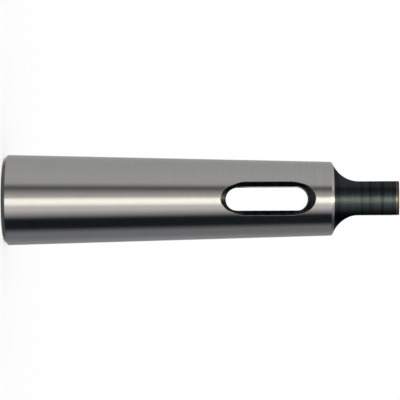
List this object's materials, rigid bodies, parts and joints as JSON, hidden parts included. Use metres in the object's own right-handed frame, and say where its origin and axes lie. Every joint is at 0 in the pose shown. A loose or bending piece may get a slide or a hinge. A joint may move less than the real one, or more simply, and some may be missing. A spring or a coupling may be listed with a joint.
{
  "type": "morse taper sleeve",
  "caption": "Tapered reduction sleeve with a tang outside, a tapered socket inside and a through slot for a drift; it holds a small taper shank in a larger spindle.",
  "frame": {"origin": "centre of the large end face, where the socket's mouth is", "axes": "+Z along the sleeve's axis towards the tang, Y along the drift slot, X across the flats of the tang"},
  "size_m": [0.0324, 0.0324, 0.14],
  "materials": {
    "ground_steel": "ground outside taper and socket, black oxide on the tang, the slot and its bevel"
  },
  "bodies": {
    "root": {"sleeve": "ground_steel"}
  },
  "joints": []
}
